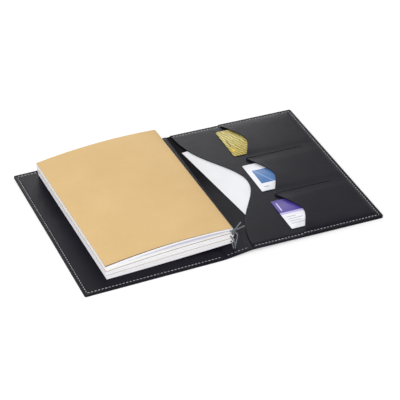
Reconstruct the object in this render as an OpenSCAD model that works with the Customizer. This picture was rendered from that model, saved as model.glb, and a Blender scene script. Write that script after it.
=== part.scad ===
// Refillable leather journal lying open: a three-part cover, three kraft refill booklets on elastic
// cords, and a wallet panel with a slip pocket and three card slots.
// X runs across the open cover, Y along the spine, Z up. The origin is on the table under the spine.

/* [Booklets] */
// Width of a folded booklet, from fold to fore-edge
booklet_w = 148; // [120:1:180]
// Height of a booklet along the fold
booklet_h = 210; // [160:1:260]
// Thickness of a kraft cover
kraft_t = 0.4; // [0.3:0.05:0.6]
// Thickness of the bottom booklet at the fore-edge
bottom_fore_t = 4.9; // [3:0.1:6]
// Thickness of the bottom booklet at the fold
bottom_fold_t = 6.1; // [4.5:0.1:7]
// Thickness of the middle booklet at the fore-edge
middle_fore_t = 5.1; // [3:0.1:6]
// Thickness of the middle booklet at the fold
middle_fold_t = 6.3; // [4.5:0.1:7]
// Thickness of the top booklet at the fore-edge
top_fore_t = 7.1; // [4:0.1:8]
// Thickness of the top booklet at the fold
top_fold_t = 6.6; // [5:0.1:8]
// Height by which the folds ride up over the spine
fold_lift = 3; // [2:0.1:5]
// Crown of the top cover above a straight line from fore-edge to fold
crown = 4.2; // [1:0.1:6]
// Widest gap between the two halves of the top booklet
parting = 3; // [0.4:0.1:4]
// Depth of the rounding at a fold
fold_round = 2.8; // [2:0.1:4]

/* [Booklet placing] */
// Shift of the bottom booklet towards the head
bottom_shift = 5.5; // [0:0.5:5]
// Shift of the middle booklet towards the head
middle_shift = 6; // [0:0.5:8]
// Shift of the top booklet towards the head
top_shift = 6.5; // [0:0.5:11]
// Shift of the bottom booklet towards the wallet
bottom_out = 1.5; // [0:0.5:4]
// Shift of the middle booklet towards the wallet
middle_out = 1; // [0:0.5:4]
// Shift of the top booklet towards the wallet
top_out = 0.5; // [0:0.5:4]
// Turn of the bottom booklet on the panel, degrees
bottom_turn = 0.9; // [-1:0.1:1]
// Turn of the middle booklet on the panel, degrees
middle_turn = 1; // [-1:0.1:1]
// Turn of the top booklet on the panel, degrees
top_turn = 1.2; // [-1.5:0.1:1.5]

/* [Cover] */
// Leather beyond the booklets at head and tail
cover_margin = 13; // [9:0.5:20]
// Leather beyond the booklet width on each panel
panel_margin = 11; // [8:0.5:20]
// Width of the spine strip between its creases
spine_w = 32; // [28:0.5:40]
// Height of the right crease above the table
spine_rise = 4; // [2:0.5:6]
// Thickness of the outer leather
leather_t = 1.6; // [1.2:0.1:2.2]
// Thickness of the linings, the slip pocket and the card panel
lining_t = 1; // [0.8:0.1:1.4]
// Radius of the cover's outer corners
corner_r = 2; // [1:0.5:8]
// Width of the sewn edge of a pocket
seam_w = 4; // [3:0.5:7]
// Width of the spine liner
liner_w = 26; // [16:0.5:26]

/* [Slip pocket] */
// Depth of the bell-shaped mouth
mouth_depth = 47; // [20:1:70]
// Half width of the bell where it has fallen to about a third
mouth_spread = 60; // [30:1:70]
// Short side of the paper slip
slip_w = 105; // [80:1:115]
// Long side of the paper slip
slip_l = 148; // [100:1:160]
// Thickness of the paper slip
slip_t = 0.3; // [0.1:0.05:0.5]
// Turn of the slip in the pocket, degrees
slip_turn = 7.2; // [0:0.2:9]
// Distance of the slip's far corner from the right crease
slip_in = 1.6; // [1.4:0.1:20]
// Place of the slip's far corner along the spine
slip_far = 80; // [60:1:90]

/* [Card slots] */
// Long side of a card
card_l = 85.6; // [70:0.1:90]
// Short side of a card
card_w = 54; // [45:0.1:60]
// Thickness of a card
card_t = 0.76; // [0.4:0.02:1]
// Corner radius of a card
card_r = 3; // [0:0.5:5]
// Distance of the cards from the right crease
card_in = 54; // [40:1:62]
// Distance of the card panel's free edge from the right crease
panel_in = 64; // [60:1:75]
// Depth of a scallop over a card
scallop_depth = 17; // [8:1:24]
// Rounding at the bottom of a scallop
scallop_round = 9; // [4:0.5:16]
// Length of a slit between two slots
slit_l = 70; // [30:1:76]
// Width of a slit
slit_w = 0.6; // [0.3:0.1:1]

/* [Elastic cords] */
// Diameter of an elastic cord
cord_d = 1.4; // [1:0.1:1.6]
// Diameter of a hole in the spine liner
hole_d = 4.4; // [4:0.1:6]
// Distance of the hole at the tail end from the end of the spine
near_hole_edge = 10.5; // [5:0.5:14]
// Distance of the hole at the head end from the end of the spine
far_hole_edge = 5; // [4:0.5:8]
// Length of the cut tails at the knot
tail_l = 13; // [6:0.5:20]
// Turn of the tied cord end away from the fold, degrees
knot_swing = 40; // [0:5:45]

/* [Staples] */
// Diameter of the staple wire
staple_d = 0.6; // [0.4:0.05:0.7]
// Length of a staple's crown
staple_l = 12.5; // [9:0.5:16]
// Distance between the two staples of a booklet
staple_pitch = 104; // [70:1:130]

/* [Hidden] */
$fn = 48;
slack = 0.1;
cut = 1;

// Cover sizes that follow from the booklets
cover_h = booklet_h + 2 * cover_margin;
panel_w = booklet_w + panel_margin;
spine_tilt = asin(spine_rise / spine_w);
panel_tilt = asin(spine_rise / panel_w);
crease_x = spine_w * cos(spine_tilt) / 2;
crease_gap = leather_t / 2 + 0.15;
function hole_y(side) = side * (cover_h / 2 - (side < 0 ? near_hole_edge : far_hole_edge));

// Heights of the layers on the right panel, above its underside
slip_z = leather_t + slack / 2;
pocket_z = leather_t + slip_t + 3 * slack;
card_z = pocket_z + lining_t + slack / 2;
panel_z = pocket_z + lining_t + card_t + 3 * slack;
slot_pitch = (cover_h - 2 * seam_w) / 3;

// Heights of the four faces between and around the booklets, at the fore-edge and at the fold
booklet_gap = 0.3;
fore_t = [bottom_fore_t, middle_fore_t, top_fore_t];
fold_t = [bottom_fold_t, middle_fold_t, top_fold_t];
shifts = [bottom_shift, middle_shift, top_shift];
outs = [bottom_out, middle_out, top_out];
turns = [bottom_turn, middle_turn, top_turn];
rest_z = leather_t + lining_t;
fore_z = [for (k = 0, z = rest_z; k <= 3; z = z + (k < 3 ? fore_t[k] : 0), k = k + 1) z];
fold_z = [for (k = 0, z = rest_z + fold_lift; k <= 3; z = z + (k < 3 ? fold_t[k] : 0), k = k + 1) z];
swell = [-crown / 6, crown / 7, crown * 3 / 7, crown];
BOTTOM = 0;
MIDDLE = 1;
TOP = 2;
paper_gap = 0.05;
trim = 0.4;
fold_gap = staple_d + 4 * slack;
cord_in = 4.3;
clinch_in = cord_in - cord_d / 2 - staple_d / 2 - slack;

leather_colour = [0.21, 0.21, 0.23];
lining_colour = [0.24, 0.24, 0.26];
kraft_colour = [0.89, 0.76, 0.54];
paper_colour = [0.95, 0.95, 0.96];
cord_colour = [0.55, 0.57, 0.6];
wire_colour = [0.72, 0.73, 0.75];

// Booklet profile, seen along the fold: the fold is at x = 0, the fore-edge at -booklet_w
function face_z(k, u) =
  fore_z[k] + (fold_z[k] - fore_z[k]) * u / booklet_w
  + 4 * swell[k] * (u / booklet_w) * (1 - u / booklet_w);
function mid_z(k, u) = (face_z(k, u) + face_z(k + 1, u)) / 2;
function half_t(k, u) = (face_z(k + 1, u) - face_z(k, u) - booklet_gap) / 2;
function fold_mid(k) = mid_z(k, booklet_w);
flat_w = booklet_w - fold_round;
function stations(start) = [for (i = [0:10]) start + (flat_w - start) * i / 10];
function backwards(list) = [for (i = [len(list) - 1:-1:0]) list[i]];
function flat_side(k, side, inset, start) =
  [for (u = stations(start)) [u - booklet_w, mid_z(k, u) + side * (half_t(k, u) - inset)]];
function fold_arc(k, inset, angles) =
  [for (a = angles) [
    (fold_round - inset) * cos(a) - fold_round,
    mid_z(k, booklet_w) + (half_t(k, flat_w) - inset) * sin(a)
  ]];
function outline(k, inset, start) = concat(
  flat_side(k, -1, inset, start),
  fold_arc(k, inset, [-75:15:75]),
  backwards(flat_side(k, 1, inset, start))
);
// One half of an opening booklet's profile, from the parted fold round to the fore-edge
function half_outline(side, inset, start) = let (
  first = asin(fold_gap / (2 * (half_t(TOP, flat_w) - inset)))
) concat(
  fold_arc(TOP, inset, [for (i = [0:4]) side * (first + (75 - first) * i / 4)]),
  backwards(flat_side(TOP, side, inset, start))
);
function parted_face(side, start) =
  [for (u = stations(start)) let (t = u / booklet_w)
    [u - booklet_w, mid_z(TOP, u) + side * (fold_gap * t + 27 / 4 * parting * t * t * (1 - t) + slack) / 2]];

// Places a booklet's own shape in the stack
module in_stack(k) translate([outs[k], shifts[k], 0]) rotate([0, 0, turns[k]]) children();
function stacked(k, p) = [
  p[0] * cos(turns[k]) - p[1] * sin(turns[k]) + outs[k],
  p[0] * sin(turns[k]) + p[1] * cos(turns[k]) + shifts[k],
  p[2]
];
module along_fold(length) rotate([90, 0, 0]) linear_extrude(length, center = true) children();

// Frames of the tilted spine strip and of the right panel, each with X running right from its crease
module on_spine() translate([-crease_x, 0, leather_t / 2]) rotate([0, -spine_tilt, 0]) children();
module on_right_panel()
  translate([crease_x, 0, spine_rise + leather_t / 2]) rotate([0, panel_tilt, 0])
    translate([0, 0, -leather_t / 2]) children();
function on_spine_point(s, y, n) = [
  s * cos(spine_tilt) - n * sin(spine_tilt) - crease_x,
  y,
  s * sin(spine_tilt) + n * cos(spine_tilt) + leather_t / 2
];

// A panel's outline from its crease edge, with rounded outer corners
module panel_outline() {
  translate([crease_gap, -cover_h / 2]) square([panel_w - corner_r - crease_gap, cover_h]);
  translate([panel_w - corner_r - cut, corner_r - cover_h / 2]) square([corner_r + cut, cover_h - 2 * corner_r]);
  for (side = [-1, 1])
    translate([panel_w - corner_r, side * (cover_h / 2 - corner_r)]) circle(corner_r);
}
module left_panel_outline() translate([-crease_x, 0]) mirror([1, 0]) panel_outline();

// Swept tube with eight sides
tube_sides = 8;
function unit(v) = v / norm(v);
function tangent(path, i) = unit(path[min(i + 1, len(path) - 1)] - path[max(i - 1, 0)]);
module tube(path, d, across) {
  rings = [for (i = [0:len(path) - 1]) let (
    t = tangent(path, i),
    a = unit(cross(t, across)),
    b = cross(t, a)
  ) for (j = [0:tube_sides - 1])
    path[i] + d / 2 * (cos(360 * j / tube_sides) * a + sin(360 * j / tube_sides) * b)];
  last = (len(path) - 1) * tube_sides;
  walls = [for (i = [0:len(path) - 2], j = [0:tube_sides - 1]) let (
    p = i * tube_sides + j,
    q = i * tube_sides + (j + 1) % tube_sides
  ) each [[p, p + tube_sides, q + tube_sides], [p, q + tube_sides, q]]];
  caps = [for (j = [1:tube_sides - 2]) each [[0, j, j + 1], [last, last + j + 1, last + j]]];
  polyhedron(rings, concat(walls, caps));
}
function curve(a, b, c, d, steps) =
  [for (i = [0:steps]) let (t = i / steps, s = 1 - t)
    s * s * s * a + 3 * s * s * t * b + 3 * s * t * t * c + t * t * t * d];

// Leather cover
module left_outer_leather() color(leather_colour)
  linear_extrude(leather_t) left_panel_outline();

module left_lining() color(lining_colour)
  translate([0, 0, leather_t]) linear_extrude(lining_t) left_panel_outline();

module spine_outer_leather() color(leather_colour) on_spine() {
  translate([0, -cover_h / 2, -leather_t / 2]) cube([spine_w, cover_h, leather_t]);
  for (s = [0, spine_w])
    translate([s, cover_h / 2, 0]) rotate([90, 0, 0]) cylinder(d = leather_t, h = cover_h);
}

module spine_liner() color(lining_colour) on_spine() difference() {
  translate([(spine_w - liner_w) / 2, -cover_h / 2, leather_t / 2]) cube([liner_w, cover_h, lining_t]);
  for (side = [-1, 1])
    translate([spine_w / 2, hole_y(side), 0]) cylinder(d = hole_d, h = leather_t + lining_t + cut);
}

module right_outer_leather() color(leather_colour) on_right_panel()
  linear_extrude(leather_t) panel_outline();

// Room under a sewn-on pocket, open towards the spine
module pocket_room(z0, z1)
  translate([-cut, seam_w - cover_h / 2, z0])
    cube([panel_w - seam_w + cut, cover_h - 2 * seam_w, z1 - z0]);

function bell(y) = mouth_depth * exp(-pow(y / mouth_spread, 2));
module slip_mouth() {
  end_y = cover_h / 2 + cut;
  steps = 40;
  polygon(concat(
    [[-cut, end_y], [-cut, -end_y]],
    [for (i = [0:steps]) let (y = end_y * (2 * i / steps - 1)) [crease_gap + bell(y), y]]
  ));
}

module slip_pocket() color(lining_colour) on_right_panel() difference() {
  translate([0, 0, leather_t]) linear_extrude(pocket_z - leather_t + lining_t) difference() {
    panel_outline();
    slip_mouth();
  }
  pocket_room(leather_t - cut, pocket_z);
}

// Free edge of the card panel: a rounded V over each card
function scallop(y) = scallop_depth
  * (1 - (sqrt(y * y + scallop_round * scallop_round) - scallop_round)
  / (sqrt(slot_pitch * slot_pitch / 4 + scallop_round * scallop_round) - scallop_round));
module card_edge() {
  steps = 16;
  polygon(concat(
    [[-cut, cover_h / 2 + cut], [-cut, -cover_h / 2 - cut], [panel_in, -cover_h / 2 - cut]],
    [for (slot = [-1:1], i = [0:steps]) let (y = slot_pitch * (i / steps - 0.5))
      [panel_in + scallop(y), slot * slot_pitch + y]],
    [[panel_in, cover_h / 2 + cut]]
  ));
}
module slit() {
  translate([panel_in - cut, -slit_w / 2]) square([slit_l + cut, slit_w]);
  translate([panel_in + slit_l, 0]) circle(d = 2 * slit_w);
}

module card_panel() color(lining_colour) on_right_panel() {
  base_z = pocket_z + lining_t;
  difference() {
    translate([0, 0, base_z]) linear_extrude(panel_z - base_z + lining_t) difference() {
      panel_outline();
      card_edge();
      for (side = [-1, 1]) translate([0, side * slot_pitch / 2]) slit();
    }
    pocket_room(base_z - cut, panel_z);
  }
}

// Loose contents of the wallet
module paper_slip() color(paper_colour) on_right_panel()
  translate([slip_in, slip_far, slip_z]) rotate([0, 0, slip_turn])
    translate([0, -slip_l, 0]) cube([slip_w, slip_l, slip_t]);

module card(slot, colour) color(colour) on_right_panel()
  translate([card_in, slot * slot_pitch - card_w / 2, card_z]) linear_extrude(card_t) {
    translate([card_r, 0]) square([card_l - 2 * card_r, card_w]);
    translate([0, card_r]) square([card_l, card_w - 2 * card_r]);
    for (x = [card_r, card_l - card_r], y = [card_r, card_w - card_r]) translate([x, y]) circle(card_r);
  }
module far_card() card(1, [0.80, 0.70, 0.33]);
module middle_card() card(0, [0.93, 0.94, 0.97]);
module near_card() card(-1, [0.36, 0.27, 0.66]);

// Staples and cords that lie in a booklet's fold
module staple_wires(k, d)
  for (side = [-1, 1]) translate([0, side * staple_pitch / 2, fold_mid(k)]) {
    crown_x = staple_d / 2 + slack / 4;
    leg_y = (staple_l - staple_d) / 2;
    translate([crown_x, leg_y, 0]) rotate([90, 0, 0]) cylinder(d = d, h = 2 * leg_y);
    for (end = [-1, 1]) {
      translate([crown_x, end * leg_y, 0]) sphere(d = d);
      translate([-clinch_in, end * leg_y, 0]) rotate([0, 90, 0]) cylinder(d = d, h = clinch_in + crown_x);
      translate([-clinch_in, end * leg_y, 0]) sphere(d = d);
      translate([-clinch_in, end * leg_y, 0]) rotate([90 * end, 0, 0]) cylinder(d = d, h = leg_y * 0.7);
    }
  }
module fold_cord(k, d, length)
  translate([-cord_in, length / 2, cord_z(k)]) rotate([90, 0, 0])
    cylinder(d = d, h = length);
module staples(k) color(wire_colour) in_stack(k) staple_wires(k, staple_d);
module elastic(k) color(cord_colour) in_stack(k) fold_cord(k, cord_d, booklet_h);
module cord_clearance(k) fold_cord(k, cord_d + 2 * slack, booklet_h + 2 * cut);
module fold_clearance(k) {
  staple_wires(k, staple_d + 2 * slack);
  cord_clearance(k);
}

// Closed booklets
module kraft_cover(k) color(kraft_colour) in_stack(k) difference() {
  along_fold(booklet_h) polygon(concat(outline(k, 0, 0), backwards(outline(k, kraft_t, 0))));
  fold_clearance(k);
}
module pages(k) color(paper_colour) in_stack(k) difference() {
  along_fold(booklet_h - 2 * trim) polygon(outline(k, kraft_t + paper_gap, trim));
  fold_clearance(k);
}
module bottom_kraft_cover() kraft_cover(BOTTOM);
module bottom_pages() pages(BOTTOM);
module bottom_staples() staples(BOTTOM);
module bottom_elastic() elastic(BOTTOM);
module middle_kraft_cover() kraft_cover(MIDDLE);
module middle_pages() pages(MIDDLE);
module middle_staples() staples(MIDDLE);
module middle_elastic() elastic(MIDDLE);

// The top booklet opens at its fold, so each of its sheets is split there
module half_cover(side) color(kraft_colour) in_stack(TOP)
  along_fold(booklet_h)
    polygon(concat(half_outline(side, 0, 0), backwards(half_outline(side, kraft_t, 0))));
module half_pages(side) color(paper_colour) in_stack(TOP) difference() {
  along_fold(booklet_h - 2 * trim)
    polygon(concat(half_outline(side, kraft_t + paper_gap, trim), parted_face(side, trim)));
  cord_clearance(TOP);
}
module top_front_cover() half_cover(1);
module top_front_pages() half_pages(1);
module top_back_pages() half_pages(-1);
module top_back_cover() half_cover(-1);
module top_staples() staples(TOP);
module top_elastic() elastic(TOP);

// Cord ends between a booklet's fold and the hole in the spine liner, straight at both ends
strand_spread = hole_d / 2 - cord_d / 2 - slack;
strand_angles = [210, 330, 90];
lead_l = cord_d / 4;
function cord_z(k) = mid_z(k, booklet_w - cord_in);
function cord_end(k, side, beyond) = stacked(k, [-cord_in, side * (booklet_h / 2 + beyond), cord_z(k)]);
function aim(k, dir) = stacked(k, dir) - stacked(k, [0, 0, 0]);
function strand_foot(k, side, up) = on_spine_point(
  spine_w / 2 + strand_spread * cos(strand_angles[k]),
  hole_y(side) + side * strand_spread * sin(strand_angles[k]),
  leather_t / 2 + up
);
function strand(k, side, straight, swing) = let (
  seat = strand_foot(k, side, slack / 2 + lead_l),
  out = aim(k, [sin(swing), side * cos(swing), 0]),
  bend = cord_end(k, side, lead_l) + straight * out,
  rise = [0, 0, (bend[2] - seat[2]) / 2 + cord_d / 2],
  reach = 0.45 * abs(seat[1] - bend[1]) + 1.4 * cord_d
) concat(
  [strand_foot(k, side, slack / 2)],
  curve(seat, seat + rise, bend + reach * out, bend, 8),
  straight > 0 ? [cord_end(k, side, lead_l)] : [],
  [cord_end(k, side, slack / 2)]
);

// The top cord is tied in front of its booklet: it is wound round itself and leaves two cut tails
knot_r = cord_d + slack;
knot_pitch = 1.35 * cord_d;
knot_start = 1.6 * cord_d;
knot_turns = 1.5;
knot_l = knot_start + knot_turns * knot_pitch + cord_d;
tail_dirs = [[10.5, 0.4, 8], [11, 0.4, 1.7]];
function wound(turn) = let (
  a = 90 + 360 * turn,
  along = knot_start + knot_pitch * turn
) cord_end(TOP, -1, lead_l) + aim(TOP, [
  knot_r * cos(a) * cos(knot_swing) + along * sin(knot_swing),
  knot_r * cos(a) * sin(knot_swing) - along * cos(knot_swing),
  knot_r * sin(a)
]);
function tail(start, dir) = let (tip = start + tail_l * unit(dir))
  curve(start, start + [tail_l / 3, 0, 0], start + (tip - start) * 0.6, tip, 5);
module knot() {
  first = tail(wound(0), tail_dirs[0]);
  last = tail(wound(knot_turns), tail_dirs[1]);
  turns_path = [for (i = [1:11]) wound(knot_turns * i / 12)];
  tube(concat(backwards(first), turns_path, last), cord_d, [0, 1, 0]);
}

module near_elastic_ends() color(cord_colour) {
  for (k = [BOTTOM, MIDDLE]) tube(strand(k, -1, 0, 0), cord_d, [1, 0, 0]);
  tube(strand(TOP, -1, knot_l, knot_swing), cord_d, [1, 0, 0]);
  knot();
}
module far_elastic_ends() color(cord_colour)
  for (k = [BOTTOM, MIDDLE, TOP]) tube(strand(k, 1, 0, 0), cord_d, [1, 0, 0]);

left_outer_leather();
left_lining();
spine_outer_leather();
spine_liner();
right_outer_leather();
slip_pocket();
card_panel();
paper_slip();
far_card();
middle_card();
near_card();
bottom_kraft_cover();
bottom_pages();
bottom_staples();
bottom_elastic();
middle_kraft_cover();
middle_pages();
middle_staples();
middle_elastic();
top_front_cover();
top_front_pages();
top_back_pages();
top_back_cover();
top_staples();
top_elastic();
near_elastic_ends();
far_elastic_ends();
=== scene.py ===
"""Looks of the refillable leather journal: leather, stitching, kraft booklets, cords, slip and cards.

Lengths are written in millimetres and turned into metres where a mesh is made.
"""

import math

import bpy
import numpy as np
from mathutils import Matrix, Vector


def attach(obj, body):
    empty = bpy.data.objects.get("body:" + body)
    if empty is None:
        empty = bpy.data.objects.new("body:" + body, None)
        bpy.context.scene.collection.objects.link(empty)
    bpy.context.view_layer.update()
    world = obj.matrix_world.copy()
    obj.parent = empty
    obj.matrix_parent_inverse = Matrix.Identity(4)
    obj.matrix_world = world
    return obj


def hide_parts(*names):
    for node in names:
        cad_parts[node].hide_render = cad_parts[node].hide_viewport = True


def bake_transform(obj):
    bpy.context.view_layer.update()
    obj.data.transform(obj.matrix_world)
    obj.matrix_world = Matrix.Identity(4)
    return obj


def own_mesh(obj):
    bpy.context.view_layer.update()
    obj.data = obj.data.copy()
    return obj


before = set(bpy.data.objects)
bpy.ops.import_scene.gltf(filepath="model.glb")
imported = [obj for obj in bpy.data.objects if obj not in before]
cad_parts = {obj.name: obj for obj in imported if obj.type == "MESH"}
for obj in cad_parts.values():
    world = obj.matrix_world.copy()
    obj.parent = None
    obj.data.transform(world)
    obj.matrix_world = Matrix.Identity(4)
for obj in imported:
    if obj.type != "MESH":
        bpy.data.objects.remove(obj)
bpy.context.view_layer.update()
MM = 0.001
rng = np.random.default_rng(11)

# Sizes shared with the CAD part
BOOK_W, BOOK_H = 148.0, 210.0
COVER_H, PANEL_W, SPINE_W = 236.0, 159.0, 32.0
LEATHER_T, LINING_T, CORNER_R = 1.6, 1.0, 2.0
RISE = 4.0
SPINE_TILT, PANEL_TILT = math.asin(RISE / SPINE_W), math.asin(RISE / PANEL_W)
CREASE_X = SPINE_W * math.cos(SPINE_TILT) / 2
HALF_H = COVER_H / 2
PAD_Z, SLOT_PITCH, PANEL_IN, SLIT_L = 3.2, (COVER_H - 8.0) / 3, 64.0, 70.0
LINER_IN, FREE_EDGE = 3.0, 0.95
MOUTH_W, MOUTH_DEEP = 60.0, 47.0
SCALLOP_DEEP, SCALLOP_ROUND = 17.0, 9.0
SLIP_W, SLIP_L, SLIP_T, SLIP_TURN = 105.0, 148.0, 0.3, math.radians(7.2)
SLIP_X, SLIP_Y, SLIP_Z = 1.6, 80.0, 1.8
CARD_L, CARD_W, CARD_T, CARD_X = 85.6, 54.0, 0.76, 54.0
CORD_D, CORD_IN, HOLE_D = 1.4, 4.3, 4.4
HOLE_Y = {-1: 10.5 - HALF_H, 1: HALF_H - 5.0}

# Sizes of the seams and of rounded edges
SEAM = 3.6
STITCH_PITCH, STITCH_L, STITCH_D = 3.9, 2.6, 0.7
STITCH_SINK, STITCH_UNDER = 0.12, 0.24
GROOVE_DEEP, GROOVE_W, GROOVE_UNDER = 0.28, 0.8, 0.7
OUTER_ROUND, LINING_ROUND = 0.7, 0.45
SHARP = math.radians(50)


def smooth(t):
    t = np.clip(t, 0, 1)
    return t * t * (3 - 2 * t)


def hump(value, middle, width):
    return np.exp(-(((value - middle) / width) ** 2))


def drift(x, y, size, seed):
    """Soft unevenness of a hand-made sheet, about one unit high."""
    r = np.random.default_rng(seed)
    waves, total = 5, 0
    for _ in range(waves):
        a, phase = r.uniform(0, 2 * math.pi, 2)
        length = size * r.uniform(0.7, 1.6)
        total = total + np.sin(2 * math.pi * (x * math.cos(a) + y * math.sin(a)) / length + phase)
    return total / waves


# Frames of the spine strip and the right panel
def on_right(p):
    """From the right panel's own frame: x from its crease, z up from its underside."""
    p = np.asarray(p, float)
    c, s = math.cos(PANEL_TILT), math.sin(PANEL_TILT)
    across, up = p[..., 0], p[..., 2] - LEATHER_T / 2
    x = CREASE_X + across * c + up * s
    z = RISE + LEATHER_T / 2 - across * s + up * c
    return np.stack([x, p[..., 1], z], -1)


def on_spine(p):
    """From the spine strip's own frame: x from its left crease, z up from the middle of its leather."""
    p = np.asarray(p, float)
    c, s = math.cos(SPINE_TILT), math.sin(SPINE_TILT)
    across, up = p[..., 0], p[..., 2]
    x = across * c - up * s - CREASE_X
    z = across * s + up * c + LEATHER_T / 2
    return np.stack([x, p[..., 1], z], -1)


# Meshes
def mesh_object(name, verts, faces, material, shade=True):
    mesh = bpy.data.meshes.new(name)
    points = (np.asarray(verts, float) * MM).tolist()
    mesh.from_pydata(points, [], [tuple(int(i) for i in f) for f in faces])
    mesh.validate()
    mesh.update()
    mesh.polygons.foreach_set("use_smooth", [shade] * len(mesh.polygons))
    mesh.set_sharp_from_angle(angle=SHARP)
    mesh.materials.append(material)
    obj = bpy.data.objects.new(name, mesh)
    bpy.context.scene.collection.objects.link(obj)
    return obj


def shell_faces(keep, open_last):
    """Faces of a closed skin over a grid of squares: top, underside and the walls along every free edge.

    With open_last the last column has no wall.
    """
    n, m = keep.shape[0] + 1, keep.shape[1] + 1
    top = np.arange(n * m).reshape(n, m)
    low = top + n * m
    faces = []
    for i, j in zip(*np.nonzero(keep)):
        faces.append((top[i, j], top[i, j + 1], top[i + 1, j + 1], top[i + 1, j]))
        faces.append((low[i, j], low[i + 1, j], low[i + 1, j + 1], low[i, j + 1]))
    wide = np.zeros((n + 1, m + 1), bool)
    wide[1:-1, 1:-1] = keep
    for i in range(n):
        for j in range(m - 1):
            if wide[i, j + 1] != wide[i + 1, j + 1]:
                a, b = (j, j + 1) if wide[i, j + 1] else (j + 1, j)
                faces.append((top[i, a], top[i, b], low[i, b], low[i, a]))
    for j in range(m if not open_last else m - 1):
        for i in range(n - 1):
            if wide[i + 1, j] != wide[i + 1, j + 1]:
                a, b = (i + 1, i) if wide[i + 1, j] else (i, i + 1)
                faces.append((top[a, j], top[b, j], low[b, j], low[a, j]))
    return faces


def shell(name, top, low, material, keep=None, open_last=False):
    if keep is None:
        keep = np.ones((top.shape[0] - 1, top.shape[1] - 1), bool)
    verts = np.concatenate([top.reshape(-1, 3), low.reshape(-1, 3)])
    faces = np.array(shell_faces(keep, open_last))
    used, index = np.unique(faces, return_inverse=True)
    return mesh_object(name, verts[used], index.reshape(faces.shape), material)


# Distances from an edge at which a sheet has points: close together on its rounding and at its seam
EDGE = np.array([0, 0.05, 0.16, 0.34, 0.6, 0.95, 1.7, 2.5, 3.0, 3.4, 3.8, 4.2, 4.7, 5.5, 7.0, 9.5])


def spread(lo, hi, count, start=EDGE, end=EDGE):
    """Places from lo to hi, close together at the edges."""
    inner = np.linspace(lo + start[-1], hi - end[-1], count)[1:-1]
    return np.concatenate([lo + start, inner, (hi - end)[::-1]])


def thick_at(d, thick, r):
    """Half thickness of a leather sheet at distance d from its rounded edge."""
    d = np.clip(d, 0, r)
    return thick / 2 - r + np.sqrt(r * r - (r - d) ** 2)


def corner_end(y):
    """Reach of a panel at y, where its outer corners are rounded."""
    over = np.clip(np.abs(y) - (HALF_H - CORNER_R), 0, CORNER_R)
    return PANEL_W - CORNER_R + np.sqrt(CORNER_R**2 - over**2)


def groove(d):
    """Depth of the furrow that a seam presses into the leather, at distance d from the edge."""
    return GROOVE_DEEP * hump(d, SEAM, GROOVE_W)


TUBE_SIDES = 12


def tube_rings(path, radius):
    """Rings of points round a path, turned as little as possible from one to the next."""
    path = np.asarray(path, float)
    step = np.gradient(path, axis=0)
    step /= np.linalg.norm(step, axis=1)[:, None]
    skew = [0.31, 0.52, 0.79]
    side = np.cross(step[0], skew)
    rings = []
    for p, t in zip(path, step):
        side = side - t * side.dot(t)
        side /= np.linalg.norm(side)
        up = np.cross(t, side)
        a = np.linspace(0, 2 * math.pi, TUBE_SIDES, endpoint=False)[:, None]
        rings.append(p + radius * (np.cos(a) * side + np.sin(a) * up))
    return np.array(rings)


def tube(name, path, radius, material):
    rings = tube_rings(path, radius)
    n, sides = len(rings), TUBE_SIDES
    verts = np.concatenate([rings.reshape(-1, 3), [path[0]], [path[-1]]])
    faces = []
    for i in range(n - 1):
        for j in range(sides):
            k = (j + 1) % sides
            faces.append((i * sides + j, i * sides + k, (i + 1) * sides + k, (i + 1) * sides + j))
    for j in range(sides):
        k = (j + 1) % sides
        faces.append((n * sides, k, j))
        faces.append((n * sides + 1, (n - 1) * sides + j, (n - 1) * sides + k))
    return mesh_object(name, verts, faces, material)


def bezier(a, b, c, d, steps):
    t = np.linspace(0, 1, steps + 1)[:, None]
    a, b, c, d = (np.asarray(v, float) for v in (a, b, c, d))
    return (1 - t) ** 3 * a + 3 * (1 - t) ** 2 * t * b + 3 * (1 - t) * t * t * c + t**3 * d


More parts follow.
